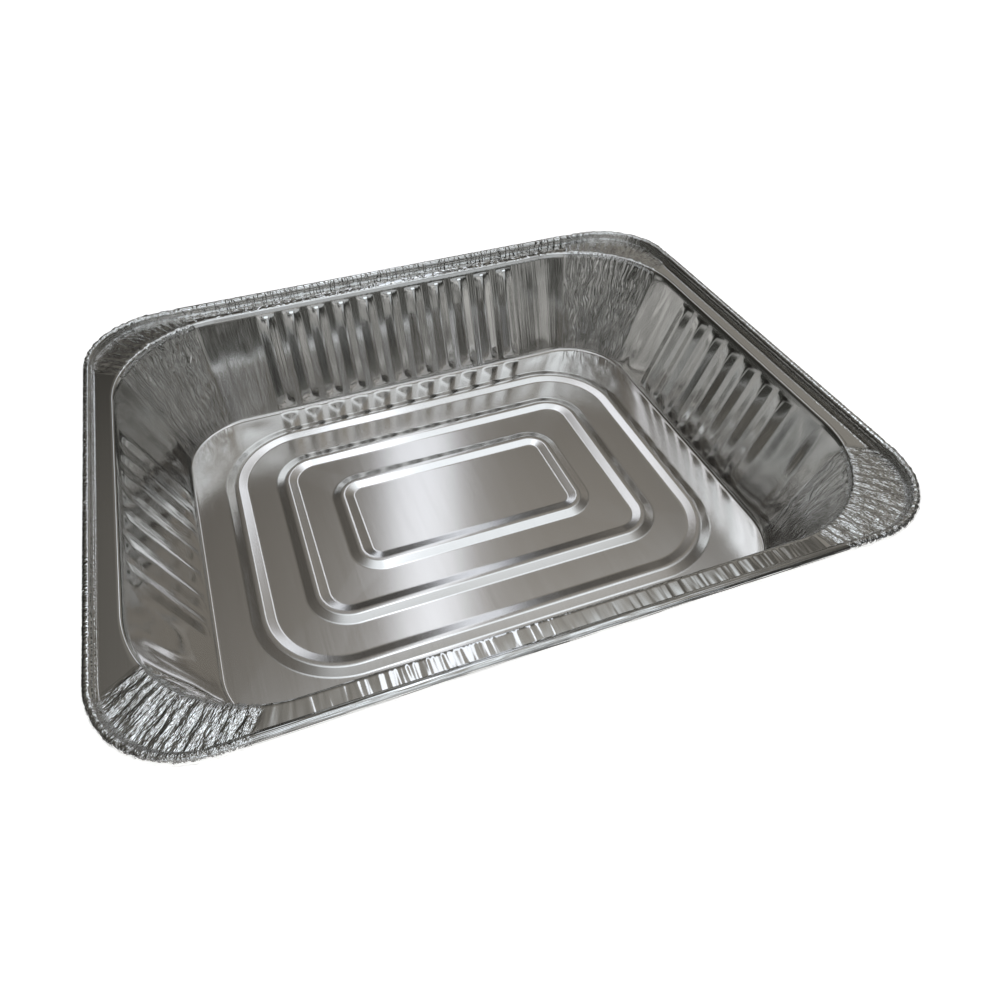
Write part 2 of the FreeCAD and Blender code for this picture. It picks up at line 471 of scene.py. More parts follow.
@dataclass(frozen=True)
class Grain:
    """One layer of noise.

    Attributes:
        across: Its scale in the first direction, which is round the tray on the sheet.
        along: Its scale in the second direction, which is along the section on the sheet.
        strength: How strong it is where it is used.
        detail: How many finer layers it has.
        rough: How strong the finer layers are.
        seed: Which slice of the noise it takes.
    """

    across: float
    along: float
    strength: float = 1.0
    detail: float = 1.0
    rough: float = 0.5
    seed: float = 0.0

    def read(self, across: Wire, along: Wire, seed: object = 0.0, shift: object = 0.0) -> Wire:
        """Read the noise.

        Args:
            across: Place in the first direction.
            along: Place in the second direction.
            seed: What the layer's own seed is added to.
            shift: What moves the noise in the first direction.

        Returns:
            The noise, from about 0 to 1, before its strength is used.
        """
        place = joined(across.tree, across * self.across + shift, along * self.along, seed + self.seed)
        return noise(across.tree, place, self.detail, self.rough)


@dataclass(frozen=True)
class GatherPattern:
    """Noise that the gathers and dents follow: rounds per pleat, except the dents', and rises per metre.

    The spans are in metres, except the ridge's and the bead's, which are of noise, and the wall's, a share.
    """

    bend: Grain = Grain(0.35, 60.0, 2.2)
    bold: Grain = Grain(1.3, 24.0, 0.6, rough=0.6, seed=3.0)
    fine: Grain = Grain(2.2, 50.0, 1.1, seed=9.0)
    spots: Grain = Grain(1.4, 330.0, 3.3, rough=0.6, seed=20.0)
    folds: Grain = Grain(1.5, 90.0, 1.5, rough=0.6, seed=25.0)
    bead: Grain = Grain(2.0, 240.0, rough=0.55, seed=30.0)
    dents: Grain = Grain(75.0, 28.0, 0.0015, seed=40.0)
    lip_strength: float = 2.4
    rib_stiffness: float = 0.95
    rib_reach: float = 0.007
    ridge_span: tuple[float, float] = (0.0, 0.2)
    bead_span: tuple[float, float] = (0.35, 0.65)
    wall_start: tuple[float, float] = (0.02, 0.1)
    flange_start: tuple[float, ...] = (0.0, 0.0025, 0.5, 1.0)
    flange_end: tuple[float, ...] = (0.006, 0.008, 1.0, 0.2)
    dents_start: tuple[float, float] = (0.003, 0.012)
    dents_end: tuple[float, ...] = (0.046, 0.055, 1.0, 0.0)


@dataclass(frozen=True)
class FoilFinish:
    """How bright, how smooth and how finely marked the foil is on each stretch, with scales per metre."""

    floor_colour: tuple[float, float, float] = (0.80, 0.775, 0.75)
    wall_colour: tuple[float, float, float] = (0.83, 0.825, 0.81)
    colour_spread: float = 0.08
    floor_roughness: float = 0.165
    wall_roughness: float = 0.1
    gather_roughness: float = 0.12
    least_roughness: float = 0.05
    streaks: Grain = Grain(900.0, 12.0, detail=3.0, rough=0.6)
    body_streaks: Grain = Grain(1500.0, 22.0, 0.06)
    wide_streaks: Grain = Grain(160.0, 9.0, 0.05)
    fine_lines: Grain = Grain(1400.0, 30.0, 0.3)
    broad_lines: Grain = Grain(520.0, 9.0, 1.2)
    end_lines_share: float = 0.12
    rim_flecks: Grain = Grain(1050.0, 620.0, 4.2, 2.0, 0.65)
    near_ripples: Grain = Grain(300.0, 45.0, 3.6)
    far_dashes: Grain = Grain(210.0, 260.0, 2.2)
    far_serration: Grain = Grain(420.0, 110.0, 3.6)
    near_rolling: Grain = Grain(45.0, 2200.0, 1.6)
    end_hatching: Grain = Grain(1000.0, 300.0, 3.6)
    mark_span: tuple[float, float] = (0.42, 0.58)
    side_span: tuple[float, float] = (-0.01, 0.01)
    creases_round: float = 330.0
    crease_drift: Grain = Grain(70.0, 70.0, 3.0)
    creases: Grain = Grain(1.0, 26.0, 3.0, rough=0.6)
    crease_span: tuple[float, float] = (0.0, 0.13)
    fine_creases: Grain = Grain(1.7, 40.0, 2.2, seed=4.0)
    relief: float = 0.0001


@dataclass
class SheetRow:
    """One row of points round the tray.

    Attributes:
        points: Where the points are, in millimetres.
        press: Direction in which the foil is pressed at each point.
        zone: The stretch of foil that the row is on.
        across: Distance along the section from the start of its zone, in millimetres.
    """

    points: np.ndarray
    press: np.ndarray
    zone: Zone
    across: float


@dataclass
class FlatSheet:
    """The tray's foil before its ribs, rings and gathers are pressed."""

    sizes: TraySizes
    ribs: RibSizes
    end_ribs: RibSizes
    rings: RingSizes
    gathers: GatherSizes
    corner_steps: int = 136
    roll_steps: int = 8
    floor_skip: int = 4
    foot_margin: float = 0.8
    foot_shares: tuple[float, ...] = (0.0, 0.33, 0.67)
    wall_rises: tuple[float, ...] = (2.4, 3.5, 4.9, 7.4, 11.0, 17.0, 24.0, 32.0, 40.0, 46.5)
    wall_drops: tuple[float, ...] = (6.0, 3.7, 3.2, 2.7, 2.2, 1.8, 0.9)
    lip_shares: tuple[float, ...] = (0.25, 0.75)
    lip_press: tuple[float, float] = (-0.6, 0.8)
    flange_shares: tuple[float, ...] = (0.03, 0.14, 0.3, 0.46, 0.62, 0.78, 0.92)
    long_side_from: float = 0.7

    def __post_init__(self) -> None:
        """Lay out the stations round the tray."""
        sector_x, sector_y = self.sizes.sector
        turns = [i / self.corner_steps for i in range(self.corner_steps)]
        along_x = [x / sector_x for x in self.ribs.stations(sector_x)[:-1]]
        along_y = [y / sector_y for y in self.end_ribs.stations(sector_y)[:-1]]
        self.stations: list[tuple[str, int, float]] = []
        for corner, side in enumerate(SIDES):
            places = along_y if corner % 2 else along_x
            sign = -1.0 if side in ("back", "left") else 1.0
            self.stations += [("corner", corner, turn if corner % 2 else 1.0 - turn) for turn in turns]
            self.stations += [(side, corner, sign * place) for place in places]

    def ring_points(self, loop: Loop, shared_sector: bool) -> tuple[np.ndarray, np.ndarray]:
        """Points and outward directions of one loop at every station.

        Args:
            loop: The loop.
            shared_sector: Whether its straight stretches are as long as the tray's.

        Returns:
            Points in millimetres, and unit directions.
        """
        arc_x, arc_y = loop.corner_start()
        sector_x, sector_y = self.sizes.sector if shared_sector else (arc_x, arc_y)
        side_run = arc_x - sector_x
        arc_run = loop.radius * math.pi / 2
        total = side_run + arc_run + arc_y - sector_y
        points = []
        outwards = []
        for kind, corner, place in self.stations:
            if kind in SIDES:
                out_x, out_y = SIDES[kind]
                x = out_x * loop.half_length + abs(out_y) * place * sector_x
                y = out_y * loop.half_width + abs(out_x) * place * sector_y
                points.append((x, y))
                outwards.append((out_x, out_y))
            else:
                sign_x, sign_y = QUADRANTS[corner]
                travelled = place * total
                turn = min(max((travelled - side_run) / arc_run, 0.0), 1.0) * math.pi / 2
                x = arc_x + loop.radius * math.sin(turn) - max(side_run - travelled, 0.0)
                y = arc_y + loop.radius * math.cos(turn) - max(travelled - side_run - arc_run, 0.0)
                points.append((sign_x * x, sign_y * y))
                outwards.append((sign_x * math.sin(turn), sign_y * math.cos(turn)))
        flat = np.array(points)
        out = np.array(outwards)
        level = np.full((len(flat), 1), loop.height)
        return np.hstack([flat, level]), np.hstack([out, np.zeros((len(out), 1))])

    def floor_rows(self) -> list[SheetRow]:
        """Rows of the floor, from the innermost panel to the foot of the walls."""
        base = self.sizes.floor_loop
        rings = self.rings
        half = rings.base / 2
        crest_folds = [rings.crest / 2 - rings.edge, rings.crest / 2 + rings.edge]
        folds = crest_folds + [half - rings.edge, half + rings.edge, half + rings.margin]
        rows = []
        for i in reversed(range(len(rings.inner_radii))):
            foot = rings.outer_inset + i * rings.spacing
            for offset in [-fold for fold in reversed(folds)] + folds:
                inset = foot - half - offset
                loop = Loop(
                    base.half_length - inset,
                    base.half_width - inset,
                    rings.inner_radii[i] + foot - inset,
                    base.height,
                )
                points, _ = self.ring_points(loop, False)
                rows.append(SheetRow(points, np.broadcast_to(UP, points.shape), Zone.FLOOR, inset))
        return rows

    def margin_row(self) -> SheetRow:
        """The last row of the floor's open net, just inside the rounded foot."""
        inset = self.sizes.foot_reach + self.foot_margin
        points, _ = self.ring_points(self.sizes.floor_loop.grown(-inset, 0.0), True)
        return SheetRow(points, np.broadcast_to(UP, points.shape), Zone.FLOOR, inset)

    def foot_rows(self) -> list[SheetRow]:
        """Rows of the rounded foot, where the floor turns into the walls."""
        radius = self.sizes.foot_rounding
        rows = []
        for share in self.foot_shares:
            angle = self.sizes.wall_angle * share
            outward = radius * math.sin(angle) - self.sizes.foot_reach
            upward = radius * (1 - math.cos(angle))
            points, outwards = self.ring_points(self.sizes.floor_loop.grown(outward, upward), True)
            press = -outwards * math.sin(angle) + UP * math.cos(angle)
            rows.append(SheetRow(points, press, Zone.FLOOR, -outward))
        return rows

    def wall_rows(self) -> list[SheetRow]:
        """Rows of the leaning walls."""
        slope = self.sizes.wall_angle
        low, low_out = self.ring_points(self.sizes.floor_loop, True)
        high, high_out = self.ring_points(self.sizes.fold_loop, True)
        run = self.wall_run
        ups = [self.sizes.foot_reach, *self.wall_rises, *(run - drop for drop in self.wall_drops)]
        outward = low_out + high_out
        outward /= np.linalg.norm(outward, axis=1)[:, None]
        press = -outward * math.sin(slope) + UP * math.cos(slope)
        return [SheetRow(low + (high - low) * (up / run), press, Zone.WALL, up) for up in ups]

    @property
    def wall_run(self) -> float:
        """Length of the walls' slope."""
        rise = self.sizes.fold_loop.height - self.sizes.floor_loop.height
        return rise / math.sin(self.sizes.wall_angle)

    def rim_rows(self) -> list[SheetRow]:
        """Rows of the lip, the flat flange and the rolled bead."""
        sizes = self.sizes
        fold, out = self.ring_points(sizes.fold_loop, True)
        mouth, _ = self.ring_points(sizes.mouth_loop, True)
        radius = sizes.bead / 2
        sunk = sizes.bead_above_flange - radius
        start = math.pi + math.asin(sunk / radius)
        end = math.radians(sizes.curl_end - 360.0)
        steps = [start + (end - start) * i / self.roll_steps for i in range(self.roll_steps + 1)]
        centre, outwards = self.ring_points(sizes.bead_loop, True)
        rolls = []
        for angle in steps:
            ray = outwards * math.cos(angle) + UP * math.sin(angle)
            rolls.append(SheetRow(centre + ray * radius, -ray, Zone.ROLL, (start - angle) * radius))
        rows = []
        press = out * self.lip_press[0] + UP * self.lip_press[1]
        for share in self.lip_shares:
            rows.append(SheetRow(fold + (mouth - fold) * share, press, Zone.LIP, share))
        press = np.broadcast_to(UP, mouth.shape)
        for share in self.flange_shares:
            points = mouth + (rolls[0].points - mouth) * share
            rows.append(SheetRow(points, press, Zone.FLANGE, share * sizes.flange))
        return rows + rolls

    def gathered(self) -> np.ndarray:
        """How far the foil is gathered at each station, from 0 to 1."""
        mouth, _ = self.ring_points(self.sizes.mouth_loop, True)
        share = np.zeros(len(mouth))
        for (sign_x, sign_y), (start_x, start_y) in zip(QUADRANTS, self.gathers.starts):
            past_x = (mouth[:, 0] * sign_x - start_x) / self.gathers.edge
            past_y = (mouth[:, 1] * sign_y - start_y) / self.gathers.edge
            inside = np.clip(np.minimum(past_x, past_y), 0.0, 1.0)
            share = np.maximum(share, inside)
        return share

    def mesh(self) -> bpy.types.Mesh:
        """Join the rows into a sheet, open at the end of its roll.

        Returns:
            A mesh with the attributes that the press and the finish read.
        """
        fine = self.foot_rows() + self.wall_rows() + self.rim_rows()
        coarse = self.floor_rows() + [self.margin_row()]
        count = len(self.stations)
        skip = self.floor_skip
        few = list(range(0, count, skip))
        if count % skip:
            raise ValueError("the stations round the tray don't divide evenly over the floor")
        fold, _ = self.ring_points(self.sizes.fold_loop, True)
        steps = np.linalg.norm(np.roll(fold, -1, axis=0) - fold, axis=1)
        around = np.concatenate([[0.0], np.cumsum(steps)])
        gathered = self.gathered()
        _, outwards = self.ring_points(self.sizes.mouth_loop, True)
        long_side = (np.abs(outwards[:, 1]) > self.long_side_from).astype(float)
        along = np.zeros(count)
        long_wall = np.zeros(count)
        end_wall = np.zeros(count)
        for i, (kind, _, place) in enumerate(self.stations):
            if kind in ("back", "front"):
                along[i] = place * self.sizes.sector[0]
                long_wall[i] = 1.0
            elif kind in ("left", "right"):
                along[i] = place * self.sizes.sector[1]
                end_wall[i] = 1.0
        columns: dict[str, list[np.ndarray]] = {}
        points: list[np.ndarray] = []
        starts: list[tuple[int, bool]] = []
        total = 0

        def record(name: str, values: np.ndarray) -> None:
            """Note one row's values for an attribute."""
            columns.setdefault(name, []).append(values)

        shared = {"along": along * MM, "around": around[:-1] * MM}
        shared |= {"gathered": gathered, "long_side": long_side}
        walls = {"long_wall": long_wall, "end_wall": end_wall}
        for row, thin in [(row, True) for row in coarse] + [(row, False) for row in fine]:
            pick = np.array(few) if thin else np.arange(count)
            starts.append((total, thin))
            total += len(pick)
            points.append(row.points[pick])
            record("press", row.press[pick])
            record("across", np.full(len(pick), row.across * MM))
            for name, values in shared.items():
                record(name, values[pick])
            for name, values in walls.items():
                record(name, values[pick] * float(row.zone is Zone.WALL))
            for zone in Zone:
                record(zone.value, np.full(len(pick), float(row.zone is zone)))
        faces: list[list[int]] = [list(range(len(few)))]
        spans: list[list[float]] = [[0.0] * len(few)]
        for (start, thin), (above, above_thin) in zip(starts, starts[1:]):
            size = len(few) if thin else count
            for i in range(size):
                j = (i + 1) % size
                if thin and not above_thin:
                    ends = list(range(skip * (i + 1), skip * i - 1, -1))
                    faces.append([start + i, start + j] + [above + k % count for k in ends])
                    spans.append([around[ends[-1]], around[ends[0]]] + [around[k] for k in ends])
                    continue
                faces.append([start + i, start + j, above + j, above + i])
                step = skip if thin else 1
                low, high = around[step * i], around[step * (i + 1)]
                spans.append([low, high, high, low])
        mesh = bpy.data.meshes.new("foil_sheet")
        turned = [faces[0]] + [face[::-1] for face in faces[1:]]
        mesh.from_pydata((np.vstack(points) * MM).tolist(), [], turned)
        mesh.update()
        for name, values in columns.items():
            vector = name == "press"
            layer = mesh.attributes.new(name, "FLOAT_VECTOR" if vector else "FLOAT", "POINT")
            flat = np.concatenate(values).astype(np.float32).ravel()
            layer.data.foreach_set("vector" if vector else "value", flat)
        self.lay_uv(mesh, np.concatenate(columns["across"]), spans)
        mesh.validate()
        return mesh

    def lay_uv(self, mesh: bpy.types.Mesh, across: np.ndarray, spans: list[list[float]]) -> None:
        """Lay a map on the sheet, with the way round as U and the way up as V, in metres.

        Args:
            mesh: The sheet.
            across: Distance along the section at each point.
            spans: Distance round the tray at each face's corners.
        """
        layer = mesh.uv_layers.new(name="sheet")
        for number, (face, span) in enumerate(zip(mesh.polygons, spans)):
            for loop_index, value in zip(face.loop_indices, span[::-1] if number else span):
                vertex = mesh.loops[loop_index].vertex_index
                layer.data[loop_index].uv = (value * MM, float(across[vertex]))


@dataclass
class Relief:
    """The nodes that work out how far the foil is pressed at each point."""

    tree: bpy.types.NodeTree
    sizes: dict[str, Wire]
    pattern: GatherPattern = GatherPattern()

    def held(self, name: str, kind: str = "FLOAT") -> Wire:
        """Read one of the sheet's attributes.

        Args:
            name: Name of the attribute.
            kind: Blender's name for its type.

        Returns:
            The attribute.
        """
        node = self.tree.nodes.new("GeometryNodeInputNamedAttribute")
        node.data_type = kind
        node.inputs["Name"].default_value = name
        return Wire(self.tree, node.outputs[0])

    def depth(self) -> Wire:
        """How far each point is pressed in all."""
        depth = self.ribs("Rib", "long_wall") + self.ribs("End Rib", "end_wall")
        depth = depth + self.rings() * self.held("floor")
        return depth + self.pleats() + self.rim_crumple() + self.dents()

    def ribs(self, kind: str, mask: str) -> Wire:
        """Depth of the ribs of one pair of walls.

        Args:
            kind: First words of the sizes' names.
            mask: Attribute that is 1 on these walls.

        Returns:
            Depth at each point.
        """
        sizes = self.sizes
        pitch = sizes[f"{kind} Pitch"]
        along = self.held("along")
        number = (along / pitch).nearest()
        off_centre = abs(along - number * pitch)
        section = off_centre.ramp(sizes[f"{kind} Half Crest"], sizes[f"{kind} Half Base"], 1.0, 0.0, False)
        live = abs(number).below(sizes[f"{kind} Count"] * 0.5)
        rise = self.held("across")
        top = sizes["Rib Head"]
        foot = rise.ramp(sizes["Rib Foot"], sizes["Rib Foot"] + sizes["Rib Foot Slope"])
        head = ((top - rise) / sizes["Rib End Slope"]).ramp(0.0, 1.0, eased=False)
        fading = rise.ramp(top - sizes["Rib Fading"], top, 1.0, sizes["Rib Head Share"])
        return section.lowest(foot.lowest(head)) * fading * live * self.held(mask) * sizes[f"{kind} Depth"]

    def rings(self) -> Wire:
        """Height of the floor's rings."""
        sizes = self.sizes
        inset = self.held("across") - sizes["First Ring"]
        number = (inset / sizes["Ring Spacing"]).nearest().highest(0.0)
        off_centre = abs(inset - number * sizes["Ring Spacing"])
        section = off_centre.ramp(sizes["Ring Half Crest"], sizes["Ring Half Base"], 1.0, 0.0, False)
        return section * sizes["Ring Height"]

    def pleats(self) -> Wire:
        """Depth of the pleats in the corner walls."""
        sizes, pattern, seed = self.sizes, self.pattern, self.sizes["Seed"]
        around = self.held("around") / sizes["Pleat Pitch"]
        rise = self.held("across")
        share = rise / sizes["Wall Run"]
        bend = pattern.bend.read(around, rise, seed) - 0.5
        bold = pattern.bold.read(around, rise, seed, bend * pattern.bend.strength)
        ridge = abs(bold - 0.5).ramp(*pattern.ridge_span, 1.0, 0.0)
        fine = pattern.fine.read(around, rise, seed, bend) - 0.5
        folded = ridge * pattern.bold.strength + fine * pattern.fine.strength
        depth = share.ramp(0.0, 1.0, sizes["Pleat Foot Depth"], sizes["Pleat Head Depth"])
        return folded * depth * self.held("gathered") * self.held("wall") * share.ramp(*pattern.wall_start)

    def rim_crumple(self) -> Wire:
        """Rise of the crumpled lip, flange and bead at the corners."""
        pattern, seed, depth = self.pattern, self.sizes["Seed"], self.sizes["Flange Crumple"]
        around = self.held("around") / self.sizes["Pleat Pitch"]
        across = self.held("across")
        spots = pattern.spots.read(around, across, seed) - 0.5
        folds = pattern.folds.read(around, across, seed) - 0.5
        middle = across.ramp(*pattern.flange_start) * across.ramp(*pattern.flange_end)
        flange = (folds * pattern.folds.strength + spots * pattern.spots.strength) * middle
        bead = pattern.bead.read(around, across, seed).ramp(*pattern.bead_span)
        crumple = (flange * self.held("flange") + folds * pattern.lip_strength * self.held("lip")) * depth
        return (crumple + bead * self.sizes["Bead Crumple"] * self.held("roll")) * self.held("gathered")

    def dents(self) -> Wire:
        """Depth of the soft dents in the plain stretches of wall beside the corners."""
        pattern = self.pattern
        rise = self.held("across")
        soft = pattern.dents.read(self.held("around"), rise, self.sizes["Seed"]) - 0.5
        edge = rise.ramp(*pattern.dents_start) * rise.ramp(*pattern.dents_end) * self.held("wall")
        ribbed = self.ribbed("Rib", "long_wall") + self.ribbed("End Rib", "end_wall")
        return soft * pattern.dents.strength * edge * (ribbed * -pattern.rib_stiffness + 1.0)

    def ribbed(self, kind: str, mask: str) -> Wire:
        """Mask of the stretch of wall that the ribs stiffen.

        Args:
            kind: First words of the sizes' names.
            mask: Attribute that is 1 on these walls.

        Returns:
            1 among the ribs, falling to 0 beside the last of them.
        """
        half_run = self.sizes[f"{kind} Count"] * self.sizes[f"{kind} Pitch"] * 0.5
        return (half_run - abs(self.held("along"))).ramp(-self.pattern.rib_reach, 0.0) * self.held(mask)


@dataclass
class FoilPress:
    """The geometry nodes that press ribs, rings and gathers into the sheet."""

    sizes: TraySizes
    ribs: RibSizes
    end_ribs: RibSizes
    rings: RingSizes
    gathers: GatherSizes
    wall_run: float

    def inputs(self) -> dict[str, float]:
        """Named sizes that the tree takes, in metres."""
        values: dict[str, float] = {}
        for kind, ribs in (("Rib", self.ribs), ("End Rib", self.end_ribs)):
            values[f"{kind} Count"] = float(ribs.count)
            values[f"{kind} Pitch"] = ribs.pitch * MM
            values[f"{kind} Depth"] = ribs.depth * MM
            values[f"{kind} Half Crest"] = ribs.crest / 2 * MM
            values[f"{kind} Half Base"] = (ribs.crest / 2 + ribs.flank) * MM
        half_ring = self.rings.base / 2
        return values | {
            "Rib Foot": self.ribs.foot * MM,
            "Rib Head": (self.wall_run - self.ribs.head) * MM,
            "Rib End Slope": self.ribs.end_slope * MM,
            "Rib Foot Slope": self.ribs.foot_slope * MM,
            "Rib Head Share": self.ribs.head_share,
            "Rib Fading": self.ribs.fading * MM,
            "Wall Run": self.wall_run * MM,
            "First Ring": (self.rings.outer_inset - half_ring) * MM,
            "Ring Spacing": self.rings.spacing * MM,
            "Ring Height": self.rings.height * MM,
            "Ring Half Crest": self.rings.crest / 2 * MM,
            "Ring Half Base": half_ring * MM,
            "Pleat Pitch": self.gathers.pleat_pitch * MM,
            "Pleat Foot Depth": self.gathers.foot_depth * MM,
            "Pleat Head Depth": self.gathers.head_depth * MM,
            "Flange Crumple": self.gathers.flange_depth * MM,
            "Bead Crumple": self.gathers.bead_depth * MM,
            "Seed": float(self.gathers.seed),
        }

    def tree(self, material: bpy.types.Material) -> bpy.types.NodeTree:
        """Build the tree.

        Args:
            material: The finish that the pressed foil gets.

        Returns:
            The geometry node tree.
        """
        tree = bpy.data.node_groups.new("press_foil", "GeometryNodeTree")
        tree.interface.new_socket(name="Sheet", in_out="INPUT", socket_type="NodeSocketGeometry")
        for name, value in self.inputs().items():
            socket = tree.interface.new_socket(name=name, in_out="INPUT", socket_type="NodeSocketFloat")
            socket.default_value = value
        tree.interface.new_socket(name="Tray", in_out="OUTPUT", socket_type="NodeSocketGeometry")
        source = tree.nodes.new("NodeGroupInput")
        relief = Relief(tree, {name: Wire(tree, source.outputs[name]) for name in self.inputs()})
        move = tree.nodes.new("ShaderNodeVectorMath")
        move.operation = "SCALE"
        feed(tree, relief.held("press", "FLOAT_VECTOR"), move.inputs[0])
        feed(tree, relief.depth(), move.inputs["Scale"])
        shift = tree.nodes.new("GeometryNodeSetPosition")
        tree.links.new(source.outputs["Sheet"], shift.inputs["Geometry"])
        tree.links.new(move.outputs[0], shift.inputs["Offset"])
        real = tree.nodes.new("GeometryNodeRealizeInstances")
        tree.links.new(shift.outputs[0], real.inputs[0])
        dress = tree.nodes.new("GeometryNodeSetMaterial")
        dress.inputs["Material"].default_value = material
        tree.links.new(real.outputs[0], dress.inputs["Geometry"])
        sink = tree.nodes.new("NodeGroupOutput")
        tree.links.new(dress.outputs[0], sink.inputs[0])
        return tree

    def run(self, sheet: bpy.types.Mesh, material: bpy.types.Material) -> bpy.types.Object:
        """Press the sheet, give it the foil's thickness and make it a plain mesh.

        Args:
            sheet: The flat sheet.
            material: The foil's finish.

        Returns:
            The finished tray.
        """
        rough = bpy.data.objects.new("foil_blank", sheet)
        bpy.context.scene.collection.objects.link(rough)
        nodes = rough.modifiers.new("press", "NODES")
        nodes.node_group = self.tree(material)
        identifiers = {item.name: item.identifier for item in nodes.node_group.interface.items_tree}
        for name, value in self.inputs().items():
            nodes[identifiers[name]] = value
        wall = rough.modifiers.new("thickness", "SOLIDIFY")
        wall.thickness = self.sizes.foil * MM
        wall.offset = -1.0
        wall.use_even_offset = False
        bpy.context.view_layer.update()
        depsgraph = bpy.context.evaluated_depsgraph_get()
        mesh = bpy.data.meshes.new_from_object(rough.evaluated_get(depsgraph), depsgraph=depsgraph)
        bpy.data.objects.remove(rough)
        mesh.name = "pressed_foil"
        mesh.polygons.foreach_set("use_smooth", [True] * len(mesh.polygons))
        tray = bpy.data.objects.new("pressed_foil", mesh)
        bpy.context.scene.collection.objects.link(tray)
        if not mesh.materials:
            mesh.materials.append(material)
        return tray


@dataclass
class FoilMaterial:
    """The rolled aluminium foil: satin on the floor, brighter on the walls and rim."""

    finish: FoilFinish

    def __post_init__(self) -> None:
        """Start the material and the group of streaks that it uses."""
        self.material = bpy.data.materials.new("rolled_foil")
        self.material.use_nodes = True
        self.tree = self.material.node_tree
        self.group = self.streak_group()

    def streak_group(self) -> bpy.types.NodeTree:
        """Fine streaks that rolling leaves in the foil.

        Returns:
            A shader node group with a scaled place as input and the streaks as output.
        """
        grain = self.finish.streaks
        tree = bpy.data.node_groups.new("rolled_streaks", "ShaderNodeTree")
        tree.interface.new_socket(name="Place", in_out="INPUT", socket_type="NodeSocketVector")
        for name, value in (("Across Scale", grain.across), ("Along Scale", grain.along)):
            socket = tree.interface.new_socket(name=name, in_out="INPUT", socket_type="NodeSocketFloat")
            socket.default_value = value
        tree.interface.new_socket(name="Streaks", in_out="OUTPUT", socket_type="NodeSocketFloat")
        source = tree.nodes.new("NodeGroupInput")
        x, y, _ = parts(tree, source.outputs["Place"])
        across = x * Wire(tree, source.outputs["Across Scale"])
        along = y * Wire(tree, source.outputs["Along Scale"])
        sink = tree.nodes.new("NodeGroupOutput")
        streaks = noise(tree, joined(tree, across, along), grain.detail, grain.rough)
        feed(tree, streaks, sink.inputs["Streaks"])
        return tree

    def held(self, name: str) -> Wire:
        """Read one of the sheet's attributes.

        Args:
            name: Name of the attribute.

        Returns:
            The attribute.
        """
        node = self.tree.nodes.new("ShaderNodeAttribute")
        node.attribute_name = name
        return Wire(self.tree, node.outputs["Fac"])

    def streaks(self, place: object, grain: Grain) -> Wire:
        """Place the streak group.

        Args:
            place: Where the streaks are read.
            grain: The layer whose scales they take.

        Returns:
            The streaks, from about 0 to 1.
        """
        node = self.tree.nodes.new("ShaderNodeGroup")
        node.node_tree = self.group
        feed(self.tree, place, node.inputs["Place"])
        node.inputs["Across Scale"].default_value = grain.across
        node.inputs["Along Scale"].default_value = grain.along
        return Wire(self.tree, node.outputs["Streaks"])

    def build(self) -> bpy.types.Material:
        """Fill the material in."""
        tree, finish = self.tree, self.finish
        shader = tree.nodes["Principled BSDF"]
        shader.inputs["Metallic"].default_value = 1.0
        space = tree.nodes.new("ShaderNodeTexCoord")
        laid = tree.nodes.new("ShaderNodeUVMap")
        laid.uv_map = "sheet"
        floor = self.held("floor")
        gathered = self.held("gathered")
        body = self.streaks(space.outputs["Object"], finish.body_streaks) - 0.5
        wide = self.streaks(space.outputs["Object"], finish.wide_streaks) - 0.5

        tint = blended(tree, floor, finish.wall_colour, finish.floor_colour)
        tint = blended(tree, 1.0, tint, body * finish.colour_spread + 1.0, "MULTIPLY")
        feed(tree, tint, shader.inputs["Base Color"])

        rough = floor.ramp(0.0, 1.0, finish.wall_roughness, finish.floor_roughness)
        rough = rough + wide * finish.wide_streaks.strength + body * finish.body_streaks.strength
        rough = rough + gathered * (finish.gather_roughness - finish.wall_roughness)
        feed(tree, rough.highest(finish.least_roughness), shader.inputs["Roughness"])

        bump = tree.nodes.new("ShaderNodeBump")
        bump.inputs["Strength"].default_value = 1.0
        bump.inputs["Distance"].default_value = finish.relief
        _, y, _ = parts(tree, space.outputs["Object"])
        height = self.wall_marks(laid.outputs[0]) + self.rim_marks(laid.outputs[0], y)
        feed(tree, height, bump.inputs["Height"])
        tree.links.new(bump.outputs[0], shader.inputs["Normal"])
        return self.material

    def wall_marks(self, sheet: object) -> Wire:
        """Fine lines of the plain walls and long fine creases up the gathered corner walls.

        Args:
            sheet: Place on the sheet.

        Returns:
            Height of the marks.
        """
        finish = self.finish
        gathered = self.held("gathered")
        fine = self.streaks(sheet, finish.fine_lines) * finish.fine_lines.strength
        broad = self.streaks(sheet, finish.broad_lines) * finish.broad_lines.strength
        lines = (fine + broad) * self.held("long_side").ramp(0.0, 1.0, finish.end_lines_share, 1.0)

        across, rise, _ = parts(self.tree, sheet)
        drift = (finish.crease_drift.read(across, rise) - 0.5) * finish.crease_drift.strength
        around = across * finish.creases_round + drift
        ridge = abs(finish.creases.read(around, rise) - 0.5).ramp(*finish.crease_span, 1.0, 0.0)
        fine = finish.fine_creases.read(around, rise) * finish.fine_creases.strength
        creases = ridge * finish.creases.strength + fine
        return (lines * (gathered * -1.0 + 1.0) + creases * gathered) * self.held("wall")

    def rim_marks(self, sheet: object, y: Wire) -> Wire:
        """Flecks of the corners' rim and the marks of its plain flanges and rolls.

        Args:
            sheet: Place on the sheet.
            y: Place across the tray, which tells the far side from the near one.

        Returns:
            Height of the marks.
        """
        finish = self.finish
        across, along, _ = parts(self.tree, sheet)

        def layer(grain: Grain, cut: bool = False) -> Wire:
            """Read one layer at its strength, cut to separate marks or not."""
            values = grain.read(across, along)
            return (values.ramp(*finish.mark_span) if cut else values) * grain.strength

